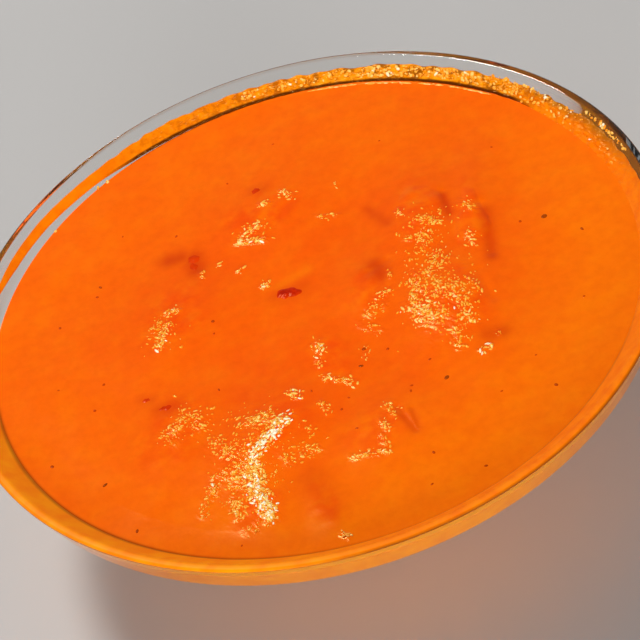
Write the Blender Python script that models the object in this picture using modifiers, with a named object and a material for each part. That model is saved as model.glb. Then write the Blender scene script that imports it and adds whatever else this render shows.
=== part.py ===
"""A shallow round clear-glass serving bowl filled with butter chicken.

The bowl is turned: thick glass with a nearly flat lip, a steep band under the lip, a wall that
turns under at about forty degrees and a low ring foot. The curry is a solid that fills the
bowl to a few millimetres under the lip, with slow swells and a low mound round each piece of
chicken. The coated chicken pieces lie in it, each a solid of its own whose back stands clear.

Metres, +Z up, origin at the centre of the foot on the surface that the bowl stands on.
"""

import math

import bmesh
import bpy
from mathutils import Matrix, Vector

MM = 0.001

# Bowl
RIM_RADIUS = 100.0 * MM
BOWL_HEIGHT = 50.0 * MM
LIP_OUTER_ROUND = 0.7 * MM
LIP_INNER_ROUND = 0.9 * MM
LIP_INNER_RADIUS = 98.29 * MM
BAND_HEIGHT = 10.42 * MM
BAND_TAPER = 3.88 * MM
BAND_SLOPE = math.radians(68.0)
WALL_SLOPE = math.radians(41.0)
FOOT_RADIUS = 45.0 * MM
FOOT_WIDTH = 4.0 * MM
FOOT_HEIGHT = 2.2 * MM
FLOOR_THICKNESS = 4.6 * MM
FLOOR_RADIUS = 34.0 * MM
INNER_SLOPE = math.radians(39.0)
BOWL_SEGMENTS = 64

# Curry
GAP = 0.3 * MM
CURRY_LEVEL = 45.0 * MM
MENISCUS_RISE = 0.5 * MM
MENISCUS_WIDTH = 4.0 * MM
SWELL_HEIGHT = 0.35 * MM
MOUND_SHARE = 0.5
MOUND_SPREAD = 1.25
CURRY_SEGMENTS = 48
TOP_RINGS = 11

# Chicken: centre x and y, length, width, thickness, turn in degrees, rise over the level, all in
# millimetres but the turn
CHICKEN = {
    "chicken_ridge_back": (36.3, 22.5, 32.0, 15.0, 18.0, 80.0, 2.6),
    "chicken_strip_right": (50.2, 16.5, 31.0, 9.5, 14.0, 79.0, 2.4),
    "chicken_chunk_right": (36.5, -14.5, 35.0, 20.5, 19.0, 97.0, 2.5),
    "chicken_bit_centre": (16.0, -1.5, 21.0, 12.0, 13.0, 74.0, 1.6),
    "chicken_bit_south": (-1.0, -21.5, 19.0, 12.0, 12.0, 100.0, 1.4),
    "chicken_chunk_front": (-22.5, -41.5, 31.0, 19.0, 18.0, 33.0, 2.4),
    "chicken_tail_front": (-31.0, -67.0, 18.0, 15.0, 9.0, 86.0, 1.5),
    "chicken_chunk_left": (-47.0, -30.0, 27.0, 18.0, 15.0, 62.0, 1.8),
    "chicken_fold_front": (6.5, -53.5, 21.0, 18.0, 14.0, 30.0, 1.9),
    "chicken_sliver_edge": (-14.0, -73.5, 21.0, 9.0, 8.0, 96.0, 1.3),
    "chicken_chunk_west": (-37.5, 14.5, 29.0, 18.0, 15.0, 58.0, 1.7),
    "chicken_chunk_north": (-5.5, 44.5, 28.0, 18.0, 16.0, 22.0, 1.8),
}
SQUARENESS = 3.0
UNEVENNESS = 0.09


def clear_scene():
    for block in list(bpy.data.objects):
        bpy.data.objects.remove(block, do_unlink=True)


def collection(name):
    made = bpy.data.collections.new(name)
    bpy.context.scene.collection.children.link(made)
    return made


def material(name, color, roughness, transmission=0.0):
    made = bpy.data.materials.new(name)
    made.use_nodes = True
    shader = made.node_tree.nodes["Principled BSDF"]
    shader.inputs["Base Color"].default_value = (*color, 1.0)
    shader.inputs["Roughness"].default_value = roughness
    shader.inputs["Metallic"].default_value = 0.0
    shader.inputs["Transmission Weight"].default_value = transmission
    return made


def cubic(start, start_pull, end_pull, end, count):
    """Points along a cubic curve, without its start."""
    points = []
    for step in range(1, count + 1):
        t = step / count
        s = 1.0 - t
        points.append(
            tuple(
                s**3 * a + 3 * s * s * t * b + 3 * s * t * t * c + t**3 * d
                for a, b, c, d in zip(start, start_pull, end_pull, end)
            )
        )
    return points


def inner_wall(offset=0.0, count=6):
    """Inner profile of the glass from the lip down to the axis, moved inwards by offset. It
    leaves the rounded inner edge of the lip along a straight cone, then rounds into a nearly
    flat floor."""
    round_off = LIP_INNER_ROUND + offset
    lip_edge = (
        LIP_INNER_RADIUS - round_off * math.sin(INNER_SLOPE),
        BOWL_HEIGHT - LIP_INNER_ROUND + round_off * math.cos(INNER_SLOPE),
    )
    drop = 12.0 * MM
    cone_end = (lip_edge[0] - drop / math.tan(INNER_SLOPE), lip_edge[1] - drop)
    floor = FOOT_HEIGHT + FLOOR_THICKNESS + offset
    floor_edge = (FLOOR_RADIUS, floor + 0.6 * MM)
    pull = 22.0 * MM
    end_pull = (cone_end[0] - pull * math.cos(INNER_SLOPE), cone_end[1] - pull * math.sin(INNER_SLOPE))
    curve = cubic(cone_end, end_pull, (FLOOR_RADIUS + 20.0 * MM, floor + 1.8 * MM), floor_edge, count)
    return [lip_edge, cone_end] + curve + [(FLOOR_RADIUS * 0.5, floor), (0.0, floor)]


def wall_radius(height, offset=0.0):
    """Radius of the inner wall, moved inwards by offset, at a height on its upper cone."""
    lip_edge = inner_wall(offset)[0]
    return lip_edge[0] - (lip_edge[1] - height) / math.tan(INNER_SLOPE)


def outer_wall(count=6):
    """Outer profile from the lip's outer edge down to the foot: a straight steep band, a rounded
    turn, a wall that runs in at WALL_SLOPE and flattens, then the outside of the ring foot."""
    corner = (RIM_RADIUS - BAND_TAPER, BOWL_HEIGHT - BAND_HEIGHT)
    foot_top = (FOOT_RADIUS, FOOT_HEIGHT + 1.6 * MM)
    turn, pull = 3.0 * MM, 27.0 * MM
    above = (corner[0] + turn * math.cos(BAND_SLOPE), corner[1] + turn * math.sin(BAND_SLOPE))
    below = (corner[0] - turn * math.cos(WALL_SLOPE), corner[1] - turn * math.sin(WALL_SLOPE))
    slope_pull = (below[0] - pull * math.cos(WALL_SLOPE), below[1] - pull * math.sin(WALL_SLOPE))
    wall = cubic(below, slope_pull, (FOOT_RADIUS + 18.0 * MM, FOOT_HEIGHT + 6.5 * MM), foot_top, count)
    return [above] + cubic(above, corner, corner, below, 3) + wall


def bowl_profile():
    """Closed half section of the bowl, from the middle of its floor up the inside, over the lip
    and down the outside to the middle of its underside."""
    outer_radius = RIM_RADIUS - LIP_OUTER_ROUND
    lip = []
    for centre, round_off, degrees in (
        (LIP_INNER_RADIUS, LIP_INNER_ROUND, 112.0),
        (LIP_INNER_RADIUS, LIP_INNER_ROUND, 90.0),
        (outer_radius, LIP_OUTER_ROUND, 90.0),
        (outer_radius, LIP_OUTER_ROUND, 45.0),
        (outer_radius, LIP_OUTER_ROUND, 0.0),
        (outer_radius, LIP_OUTER_ROUND, math.degrees(BAND_SLOPE) - 90.0),
    ):
        angle = math.radians(degrees)
        lip.append((centre + round_off * math.cos(angle), BOWL_HEIGHT - round_off + round_off * math.sin(angle)))
    foot = [
        (FOOT_RADIUS - 0.3 * MM, 0.6 * MM),
        (FOOT_RADIUS - 0.9 * MM, 0.0),
        (FOOT_RADIUS - FOOT_WIDTH + 0.6 * MM, 0.0),
        (FOOT_RADIUS - FOOT_WIDTH, 0.6 * MM),
        (FOOT_RADIUS - FOOT_WIDTH - 0.8 * MM, FOOT_HEIGHT),
        (0.0, FOOT_HEIGHT),
    ]
    return inner_wall()[::-1] + lip + outer_wall() + foot


def turned(name, profile, segments, made_of, where):
    """Solid of revolution about Z from a profile given as radius and height."""
    mesh = bpy.data.meshes.new(name)
    bm = bmesh.new()
    points = [bm.verts.new((radius, 0.0, height)) for radius, height in profile]
    for first, second in zip(points, points[1:]):
        bm.edges.new((first, second))
    bm.to_mesh(mesh)
    bm.free()
    made = bpy.data.objects.new(name, mesh)
    where.objects.link(made)
    screw = made.modifiers.new("Turn", "SCREW")
    screw.axis = "Z"
    screw.angle = 2.0 * math.pi
    screw.steps = segments
    screw.render_steps = segments
    screw.use_merge_vertices = True
    screw.merge_threshold = 0.00005
    made.data.materials.append(made_of)
    return made


def swell(x, y):
    """Slow unevenness of the curry's surface: three crossing waves."""
    return SWELL_HEIGHT * (
        0.5 * math.sin(x / (13.0 * MM) + 0.7 * math.sin(y / (19.0 * MM)))
        + 0.3 * math.sin(y / (10.0 * MM) + 1.3)
        + 0.2 * math.sin((x - 1.4 * y) / (8.0 * MM) + 0.4)
    )


def mound(x, y):
    """Rise of the curry round the chicken: the highest of a soft hump on each piece, which is
    a share of the piece's own rise."""
    rise = 0.0
    for centre_x, centre_y, length, width, _, turn, stands in CHICKEN.values():
        turned_by = math.radians(turn)
        dx = x - centre_x * MM
        dy = y - centre_y * MM
        along = (dx * math.cos(turned_by) + dy * math.sin(turned_by)) / (length * MM / 2 * MOUND_SPREAD)
        across = (dy * math.cos(turned_by) - dx * math.sin(turned_by)) / (width * MM / 2 * MOUND_SPREAD)
        rise = max(rise, MOUND_SHARE * stands * MM * math.exp(-(along**2 + across**2)))
    return rise


def curry_height(x, y):
    radius = math.hypot(x, y)
    edge = wall_radius(CURRY_LEVEL, GAP)
    meniscus = MENISCUS_RISE * math.exp(-(edge - radius) / MENISCUS_WIDTH)
    calm = min(1.0, (edge - radius) / (10.0 * MM))
    return CURRY_LEVEL + meniscus + max(0.0, calm) * (swell(x, y) + mound(x, y))


def curry(made_of, where, cutters):
    """Body that fills the glass, its top shaped by curry_height, with a pocket for each piece."""
    top_height = CURRY_LEVEL + MENISCUS_RISE
    edge = wall_radius(top_height, GAP)
    top = [(edge * step / TOP_RINGS, CURRY_LEVEL) for step in range(TOP_RINGS)]
    side = [point for point in inner_wall(GAP, 5) if point[1] < CURRY_LEVEL - 4.0 * MM]
    profile = top + [(edge, top_height)] + side
    blank = turned("curry_blank", profile, CURRY_SEGMENTS, made_of, where)
    shaped = bpy.data.meshes.new_from_object(blank.evaluated_get(bpy.context.evaluated_depsgraph_get()))
    bpy.data.objects.remove(blank, do_unlink=True)
    bm = bmesh.new()
    bm.from_mesh(shaped)
    for vertex in bm.verts:
        if abs(vertex.co.z - CURRY_LEVEL) < 0.01 * MM:
            vertex.co.z = curry_height(vertex.co.x, vertex.co.y)
    bm.to_mesh(shaped)
    bm.free()
    shaped.name = "curry"
    made = bpy.data.objects.new("curry", shaped)
    where.objects.link(made)
    pockets = made.modifiers.new("Pockets", "BOOLEAN")
    pockets.operation = "DIFFERENCE"
    pockets.operand_type = "COLLECTION"
    pockets.collection = cutters
    pockets.solver = "EXACT"
    return made


def chunk(name, number, sizes, extra, made_of, where):
    """Piece of chicken: a ball squared off to its length, width and thickness, with an uneven
    skin, turned and sunk so that its back stands over the curry's level. extra thickens it."""
    centre_x, centre_y, length, width, thickness, turn, rise = sizes
    bm = bmesh.new()
    bmesh.ops.create_icosphere(bm, subdivisions=3, radius=1.0)
    half = Vector((length, width, thickness)) * (MM / 2)
    for vertex in bm.verts:
        d = vertex.co.normalized()
        square = (abs(d.x) ** SQUARENESS + abs(d.y) ** SQUARENESS + abs(d.z) ** SQUARENESS) ** (-1.0 / SQUARENESS)
        rough = math.sin(3.1 * d.x + 2.0 * number) + math.sin(4.3 * d.y + 1.1 * number + 2.0 * d.x)
        square *= 1.0 + UNEVENNESS * 0.5 * rough - 0.03 * (1.0 + math.sin(5.0 * d.x * d.y + number))
        vertex.co = Vector((d.x * half.x, d.y * half.y, d.z * half.z)) * square
    bm.normal_update()
    for vertex in bm.verts:
        vertex.co += vertex.normal * extra
    bm.normal_update()
    place = Matrix.Translation((centre_x * MM, centre_y * MM, CURRY_LEVEL + (rise - thickness / 2) * MM))
    bmesh.ops.transform(bm, matrix=place @ Matrix.Rotation(math.radians(turn), 4, "Z"), verts=bm.verts)
    mesh = bpy.data.meshes.new(name)
    bm.to_mesh(mesh)
    bm.free()
    made = bpy.data.objects.new(name, mesh)
    made.data.materials.append(made_of)
    made.data.shade_smooth()
    where.objects.link(made)
    return made


clear_scene()
part = collection("butter_chicken_bowl")
cutters = collection("cutters")
glass = material("clear_glass", (0.93, 0.96, 0.96), 0.03, 1.0)
sauce = material("curry_sauce", (0.98, 0.16, 0.004), 0.25)
coated = material("coated_chicken", (0.94, 0.11, 0.003), 0.28)

bowl = turned("glass_bowl", bowl_profile(), BOWL_SEGMENTS, glass, part)

for number, (name, sizes) in enumerate(CHICKEN.items()):
    chunk(name, number, sizes, 0.0, coated, part)
    pocket = chunk("pocket_" + name, number, sizes, GAP, coated, cutters)
    pocket.hide_render = True
    pocket.display_type = "WIRE"

curry(sauce, part, cutters)
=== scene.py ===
"""Bowl of butter chicken: a shallow thick glass bowl, a smooth orange curry and its coated chicken."""

import bpy
import numpy as np
from mathutils import Matrix


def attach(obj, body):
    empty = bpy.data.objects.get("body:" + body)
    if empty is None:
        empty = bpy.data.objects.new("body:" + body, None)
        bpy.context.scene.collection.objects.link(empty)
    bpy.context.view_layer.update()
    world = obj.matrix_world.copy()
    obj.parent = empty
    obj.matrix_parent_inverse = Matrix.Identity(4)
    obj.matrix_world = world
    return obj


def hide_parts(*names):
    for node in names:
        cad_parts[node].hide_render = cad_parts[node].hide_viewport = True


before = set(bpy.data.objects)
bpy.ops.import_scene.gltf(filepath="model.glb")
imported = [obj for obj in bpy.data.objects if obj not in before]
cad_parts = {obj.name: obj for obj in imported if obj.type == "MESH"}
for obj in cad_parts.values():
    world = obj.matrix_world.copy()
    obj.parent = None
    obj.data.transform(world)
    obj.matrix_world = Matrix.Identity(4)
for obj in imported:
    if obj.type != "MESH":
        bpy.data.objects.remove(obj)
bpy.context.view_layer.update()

# ---------------------------------------------------------------------------------------------
# Glass bowl. One turned piece of thick pressed glass: a nearly flat lip, a steep band below it, a
# wall that runs in at about forty degrees, and a ring foot. The section is worked out once, in
# metres as radius and height, and carried round the axis.

RIM_RADIUS = 0.100
BOWL_HEIGHT = 0.050
LIP_OUTER_ROUND = 0.0007
LIP_INNER_ROUND = 0.0009
LIP_INNER_RADIUS = 0.09829
# Angles in degrees at which the lip's two rounds run into the band outside and the cone inside.
BAND_START = -22.0
CONE_START = 129.0
BAND_HEIGHT = 0.01042
BAND_TAPER = 0.00388
BAND_SLOPE = np.radians(68.0)
WALL_SLOPE = np.radians(41.0)
INNER_SLOPE = np.radians(39.0)
FOOT_RADIUS = 0.045
FOOT_WIDTH = 0.004
FOOT_HEIGHT = 0.0022
FLOOR_TOP = 0.0068
FLOOR_RADIUS = 0.034
CONE_DROP = 0.012
# How far the curves of the corner, the outer wall and the inner wall are pulled along their slopes.
CORNER_PULL = 0.003
WALL_PULL = 0.027
INNER_PULL = 0.022
BOWL_AROUND = 288


def cubic(start, start_pull, end_pull, end, count):
    """Cubic curve between two points: each point is the four given ones weighted by the Bernstein
    weights of t, for count values of t that leave out the start."""
    t = np.linspace(0.0, 1.0, count + 1)[1:, None]
    s = 1.0 - t
    points = [np.asarray(p, float) for p in (start, start_pull, end_pull, end)]
    weights = (s**3, 3 * s * s * t, 3 * s * t * t, t**3)
    return sum(weight * point for weight, point in zip(weights, points))


def arc(radius, round_off, start, end, count):
    """Part of a circle that touches the top of the lip, from one angle to another."""
    turn = np.radians(np.linspace(start, end, count))
    ring = np.stack([np.cos(turn), np.sin(turn)], axis=1)
    return np.array([radius, BOWL_HEIGHT - round_off]) + round_off * ring


def inner_section(depth=0.0):
    """Inside of the glass from the lip to the axis, as radius and height, set into the glass by
    depth: a straight cone, then a curve that flattens into the floor."""
    lip_edge = arc(LIP_INNER_RADIUS, LIP_INNER_ROUND, CONE_START, CONE_START, 1)[0]
    lip_edge = lip_edge + depth * np.array([np.sin(INNER_SLOPE), -np.cos(INNER_SLOPE)])
    cone_end = lip_edge - CONE_DROP * np.array([1.0 / np.tan(INNER_SLOPE), 1.0])
    floor = FLOOR_TOP - depth
    pull = cone_end - INNER_PULL * np.array([np.cos(INNER_SLOPE), np.sin(INNER_SLOPE)])
    cone = lip_edge + np.linspace(0.0, 1.0, 25)[:, None] * (cone_end - lip_edge)
    floor_edge = (FLOOR_RADIUS, floor + 0.0006)
    curve = cubic(cone_end, pull, (FLOOR_RADIUS + 0.020, floor + 0.0018), floor_edge, 40)
    flat = cubic(floor_edge, (FLOOR_RADIUS - 0.008, floor + 0.0002), (0.015, floor), (0.0, floor), 12)
    return np.vstack([cone, curve, flat])


def wall_radius(height, depth=0.0):
    """Radius of the inner cone, set into the glass by depth, at a height."""
    lip_edge = inner_section(depth)[0]
    return lip_edge[0] - (lip_edge[1] - height) / np.tan(INNER_SLOPE)


def outer_section():
    """Outside of the glass from below the lip to the foot: the straight band, a rounded turn into
    the sloping wall, and the wall's flattening curve down to the ring foot."""
    corner = np.array([RIM_RADIUS - BAND_TAPER, BOWL_HEIGHT - BAND_HEIGHT])
    up_wall = np.array([np.cos(WALL_SLOPE), np.sin(WALL_SLOPE)])
    above = corner + CORNER_PULL * np.array([np.cos(BAND_SLOPE), np.sin(BAND_SLOPE)])
    below = corner - CORNER_PULL * up_wall
    pull = below - WALL_PULL * up_wall
    turn = cubic(above, corner, corner, below, 12)
    wall = cubic(below, pull, (FOOT_RADIUS + 0.018, FOOT_HEIGHT + 0.0065),
                 (FOOT_RADIUS, FOOT_HEIGHT + 0.0016), 48)
    start = arc(RIM_RADIUS - LIP_OUTER_ROUND, LIP_OUTER_ROUND, BAND_START, BAND_START, 1)[0]
    band = start + np.linspace(0.1, 1.0, 14)[:, None] * (above - start)
    return np.vstack([band, turn, wall])


def polar_points(radius, angle, height):
    """Points at a radius, an angle round Z and a height, their coordinates in the last axis."""
    return np.stack(np.broadcast_arrays(radius * np.cos(angle), radius * np.sin(angle), height), axis=-1)


def turned(section, around):
    """Grid of points: each point of the section at each angle round Z, ring by ring."""
    return polar_points(section[:, :1], 2.0 * np.pi * np.arange(around) / around, section[:, 1:])


def mesh_object(name, points, faces):
    """Smooth-shaded object from points and a list of index arrays, each of faces of one size."""
    mesh = bpy.data.meshes.new(name)
    corners = np.concatenate([part.ravel() for part in faces]).astype(np.int32)
    sizes = np.concatenate([np.full(len(part), part.shape[1]) for part in faces])
    mesh.vertices.add(len(points))
    mesh.vertices.foreach_set("co", points.astype(np.float32).ravel())
    mesh.loops.add(len(corners))
    mesh.loops.foreach_set("vertex_index", corners)
    mesh.polygons.add(len(sizes))
    mesh.polygons.foreach_set("loop_start", (np.cumsum(sizes) - sizes).astype(np.int32))
    mesh.polygons.foreach_set("use_smooth", np.ones(len(sizes), bool))
    mesh.update(calc_edges=True)
    mesh.validate()
    made = bpy.data.objects.new(name, mesh)
    bpy.context.scene.collection.objects.link(made)
    return made


def closed_rings(name, *grids):
    """One object of closed bodies, each from a grid of rings whose first and last ring are single
    points: quads between neighbouring rings, and a fan of triangles at each end."""
    points, quads, fans, count = [], [], [], 0
    for grid in grids:
        rings, around = grid.shape[:2]
        here = np.arange(around)
        after = (here + 1) % around
        first = count + 1 + np.arange(rings - 3)[:, None] * around
        second = first + around
        end = count + 1 + (rings - 2) * around
        points += [grid[0, :1], grid[1:-1].reshape(-1, 3), grid[-1, :1]]
        quads.append(np.stack([first + here, second + here, second + after, first + after],
                              axis=2).reshape(-1, 4))
        fans.append(np.stack([np.full(around, count), count + 1 + here, count + 1 + after], axis=1))
        fans.append(np.stack([end - around + after, end - around + here, np.full(around, end)], axis=1))
        count = end + 1
    return mesh_object(name, np.vstack(points), [np.vstack(quads), np.vstack(fans)])


foot_inside = FOOT_RADIUS - FOOT_WIDTH
foot = np.array([
    (FOOT_RADIUS, 0.0012), (FOOT_RADIUS - 0.0003, 0.0006), (FOOT_RADIUS - 0.0009, 0.0001),
    (FOOT_RADIUS - 0.0011, 0.0), (foot_inside + 0.0008, 0.0), (foot_inside + 0.0005, 0.0001),
    (foot_inside, 0.0006), (foot_inside - 0.0006, 0.0018), (foot_inside - 0.0011, FOOT_HEIGHT),
    (0.020, FOOT_HEIGHT), (0.0, FOOT_HEIGHT),
])
lip = np.vstack([arc(LIP_INNER_RADIUS, LIP_INNER_ROUND, CONE_START - 4.0, 90.0, 12),
                 arc(RIM_RADIUS - LIP_OUTER_ROUND, LIP_OUTER_ROUND, 90.0, BAND_START, 14)])
bowl_section = np.vstack([inner_section()[::-1], lip, outer_section(), foot])
bowl = closed_rings("bowl_glass", turned(bowl_section, BOWL_AROUND))


def shader_of(name, settings):
    """New node material and its Principled shader, whose sockets are set by their names."""
    made = bpy.data.materials.new(name)
    made.use_nodes = True
    shader = made.node_tree.nodes["Principled BSDF"]
    for socket, value in settings.items():
        shader.inputs[socket].default_value = value
    return made, shader


def node(tree, kind, **settings):
    """New shader node with its settings."""
    made = tree.nodes.new(kind)
    for key, value in settings.items():
        setattr(made, key, value)
    return made


# Light rays pass the glass without bending, so that the food behind it is lit.
glass, shader = shader_of("clear_pressed_glass", {
    "Base Color": (0.955, 0.975, 0.975, 1.0), "Metallic": 0.0, "Transmission Weight": 1.0,
    "IOR": 1.5, "Roughness": 0.015,
})
tree = glass.node_tree
lit_through = node(tree, "ShaderNodeMixShader")
clear = node(tree, "ShaderNodeBsdfTransparent")
clear.inputs["Color"].default_value = (0.90, 0.92, 0.92, 1.0)
light_path = node(tree, "ShaderNodeLightPath")
tree.links.new(light_path.outputs["Is Shadow Ray"], lit_through.inputs["Fac"])
tree.links.new(shader.outputs["BSDF"], lit_through.inputs[1])
tree.links.new(clear.outputs["BSDF"], lit_through.inputs[2])
tree.links.new(lit_through.outputs["Shader"], tree.nodes["Material Output"].inputs["Surface"])
bowl.data.materials.append(glass)
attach(bowl, "root")
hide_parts("glass_bowl")

# ---------------------------------------------------------------------------------------------
# Curry. A thick smooth sauce that fills the glass to five millimetres below the lip. Its skin is
# one height over the floor plan, in millimetres: a level, a small rise where it wets the glass,
# slow swells, humps over the chicken and patches of fine wrinkles.

CURRY_LEVEL = 45.0
# How far the sauce reaches into the glass, in metres, so that no gap shows between them.
INTO_GLASS = 0.00015
# Millimetres: centre x and y, length, width, thickness, turn in degrees, rise over the level, and
# the depth of sauce over its back.
CHICKEN = {
    "chicken_ridge_back": (36.3, 22.5, 32.0, 15.0, 18.0, 80.0, 2.6, 1.0),
    "chicken_strip_right": (50.2, 16.5, 31.0, 9.5, 14.0, 79.0, 2.4, 1.0),
    "chicken_chunk_right": (36.5, -14.5, 35.0, 20.5, 19.0, 97.0, 2.5, 1.1),
    "chicken_bit_centre": (16.0, -1.5, 21.0, 12.0, 13.0, 74.0, 1.6, 2.2),
    "chicken_bit_south": (-1.0, -21.5, 19.0, 12.0, 12.0, 100.0, 1.4, 2.2),
    "chicken_chunk_front": (-22.5, -41.5, 31.0, 19.0, 18.0, 33.0, 2.4, 1.5),
    "chicken_tail_front": (-31.0, -67.0, 18.0, 15.0, 9.0, 86.0, 1.5, 2.0),
    "chicken_chunk_left": (-47.0, -30.0, 27.0, 18.0, 15.0, 62.0, 1.8, 2.2),
    "chicken_fold_front": (6.5, -53.5, 21.0, 18.0, 14.0, 30.0, 1.9, 2.2),
    "chicken_sliver_edge": (-14.0, -73.5, 21.0, 9.0, 8.0, 96.0, 1.3, 2.4),
    "chicken_chunk_west": (-37.5, 14.5, 29.0, 18.0, 15.0, 58.0, 1.7, 2.2),
    "chicken_chunk_north": (-5.5, 44.5, 28.0, 18.0, 16.0, 22.0, 1.8, 2.2),
}
# Wrinkled streaks, in millimetres: from x, y to x, y, half width, strength.
WRINKLES = [
    (-16.5, -38.6, -28.8, -48.9, 1.6, 3.0), (-29.0, -50.3, -29.7, -63.5, 1.9, 2.2),
    (-29.7, -62.5, -28.6, -72.4, 1.6, 2.2), (-27.7, -35.7, -22.3, -35.5, 2.2, 1.0),
    (-22.3, -35.5, -18.1, -40.8, 2.0, 1.1), (-36.9, -38.5, -34.0, -44.8, 2.4, 0.9),
    (-35.1, -52.1, -30.8, -58.2, 3.0, 1.0), (-40.7, -54.3, -45.3, -62.7, 1.3, 0.8),
    (-36.4, -61.2, -36.9, -68.4, 1.4, 0.9), (-37.2, -50.5, -39.7, -51.3, 1.2, 0.6),
    (-31.9, -71.9, -35.2, -74.2, 1.6, 0.4),
    (-41.3, -24.6, -47.4, -29.4, 1.9, 0.9), (-39.5, -26.8, -39.6, -31.6, 1.7, 0.8),
    (-50.0, -29.6, -46.9, -33.9, 1.8, 0.4),
    (-24.5, -35.5, -31.0, -50.0, 6.0, 0.35), (-31.0, -50.0, -30.5, -63.0, 6.5, 0.35),
    (-43.0, -27.0, -38.0, -31.0, 5.0, 0.30), (-18.0, -52.0, -13.0, -52.5, 4.0, 0.25),
    (34.0, 2.0, 34.0, -24.0, 7.0, 0.32), (36.5, 20.0, 35.0, 6.0, 5.0, 0.30),
    (-42.0, 16.0, -42.0, 6.0, 4.0, 0.25), (-10.0, 38.0, -6.0, 36.0, 3.5, 0.25),
    (-20.2, -51.9, -19.4, -54.6, 1.6, 0.6), (-14.8, -52.9, -11.2, -53.1, 1.4, 0.9),
    (-6.5, -36.3, -5.2, -41.8, 1.0, 0.9), (-13.1, -28.9, -12.0, -31.9, 1.2, 1.5),
    (-13.6, -42.6, -10.2, -47.5, 1.2, 0.4),
    (34.7, 19.1, 37.3, 18.7, 1.3, 1.0), (38.7, 16.1, 40.9, 16.8, 1.4, 1.1),
    (34.7, 13.3, 34.9, 7.9, 2.0, 0.9), (29.9, 13.4, 31.9, 12.3, 1.2, 0.6),
    (37.7, 4.8, 33.4, -3.1, 2.0, 0.9),
    (29.1, -1.4, 29.4, -8.1, 2.2, 0.9), (33.0, -7.7, 35.4, -14.1, 2.6, 0.8),
    (26.7, -13.1, 30.0, -21.6, 2.8, 1.3), (38.5, -11.9, 39.2, -25.9, 2.2, 1.0),
    (34.5, -27.2, 34.2, -34.1, 1.6, 0.8), (42.5, -9.5, 43.9, -15.3, 0.9, 0.9),
    (26.4, -8.7, 26.5, -13.0, 1.4, 0.9),
    (48.0, 20.8, 50.5, 15.9, 1.4, 0.8), (46.9, 7.5, 47.8, 3.1, 1.4, 0.9),
    (20.8, -4.3, 17.8, -4.9, 1.2, 1.0), (13.8, -9.7, 17.7, -8.7, 1.8, 0.8),
    (10.6, -12.7, 15.0, -17.1, 1.4, 0.5), (9.6, -21.4, 8.4, -26.3, 0.8, 0.6),
    (22.8, 3.8, 22.7, 0.8, 0.8, 0.7),
    (-2.3, -13.8, -2.0, -17.4, 1.3, 1.2), (-3.6, -20.4, -3.3, -23.0, 1.0, 0.8),
    (-3.2, -27.7, 3.5, -33.1, 1.0, 1.3),
    (10.0, -46.3, 11.2, -50.6, 1.2, 1.0), (7.4, -51.5, 8.2, -55.2, 1.1, 1.0),
    (6.1, -56.6, 6.3, -61.5, 0.9, 0.8), (-3.0, -60.4, 6.4, -63.0, 1.1, 1.1),
    (-14.5, 35.9, -7.3, 33.6, 1.1, 1.4), (-11.9, 38.2, -7.3, 40.3, 1.3, 1.1),
    (-4.8, 48.3, -2.9, 47.3, 0.9, 1.3), (2.0, 50.6, 4.2, 46.8, 1.0, 1.3),
    (9.2, 35.6, 15.0, 33.5, 0.9, 0.6), (16.8, 46.2, 17.0, 46.1, 0.9, 0.9),
    (-39.5, 16.9, -35.9, 17.2, 1.2, 1.3), (-40.1, 12.4, -44.3, 4.6, 1.2, 1.4),
    (-45.1, 11.2, -41.4, 14.0, 1.6, 0.6),
    (-21.1, 30.1, -21.1, 30.1, 0.8, 1.0), (-16.7, 24.7, -15.7, 25.1, 0.8, 1.0),
    (-11.5, 15.6, -10.0, 16.1, 0.9, 1.6), (30.8, 26.0, 31.1, 24.9, 0.9, 1.4),
    (-27.0, 29.1, -26.8, 27.2, 0.8, 0.8), (39.1, -37.9, 42.0, -37.7, 1.0, 1.3),
    (-11.6, -86.0, -10.7, -87.6, 0.9, 1.3), (44.9, -32.9, 45.1, -34.3, 0.9, 0.6),
    (-40.3, -54.0, -40.9, -56.4, 0.8, 1.5), (-28.1, -72.5, -27.9, -67.9, 1.1, 1.8),
    (-36.2, -62.7, -36.7, -67.5, 0.9, 1.2),
]
# Reddish places where tomato or chicken shows through, and painted shade in the creases beside
# the pieces and beside the strip at the back right: as above.
STAINS_AND_SHADE = [
    (-34.5, 38.6, -31.0, 38.2, 3.0, 0.8), (-27.5, 36.5, -27.8, 31.0, 3.2, 0.75),
    (-5.1, 54.7, -2.9, 54.0, 2.4, 0.4), (-48.5, -19.0, -44.5, -19.6, 2.8, 0.5),
    (-52.0, -13.6, -50.4, -13.8, 2.2, 0.4), (19.6, 8.0, 20.4, 3.5, 3.0, 0.75),
    (42.0, -33.1, 46.0, -33.6, 2.8, 0.6), (-15.5, -62.0, -13.0, -78.0, 4.2, 0.34),
    # From (12.2, -50.0) on, the rows are painted shade: in the creases of the front fold, beside the back
    # ridge and the strip, and at the ridge's upper left.
    (-8.5, 10.0, -1.5, 9.6, 3.4, 0.35), (12.2, -50.0, 15.2, -58.5, 1.4, 0.5),
    (15.6, -50.5, 15.8, -57.5, 1.0, 0.4), (44.3, 26.5, 44.2, 18.5, 1.4, 0.8),
    (53.8, 15.0, 51.0, -4.0, 2.0, 0.65), (23.2, 32.0, 27.0, 23.0, 1.8, 0.5),
]
# Lighter, yellower streaks by the tomato flake, painted highlight where a low ridge of sauce
# catches the light: as above.
PAINTED_LIGHT_STREAKS = [(-7.0, 13.6, 1.5, 16.2, 1.9, 0.8), (-12.0, 13.0, -7.0, 14.4, 1.4, 0.35)]
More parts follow.
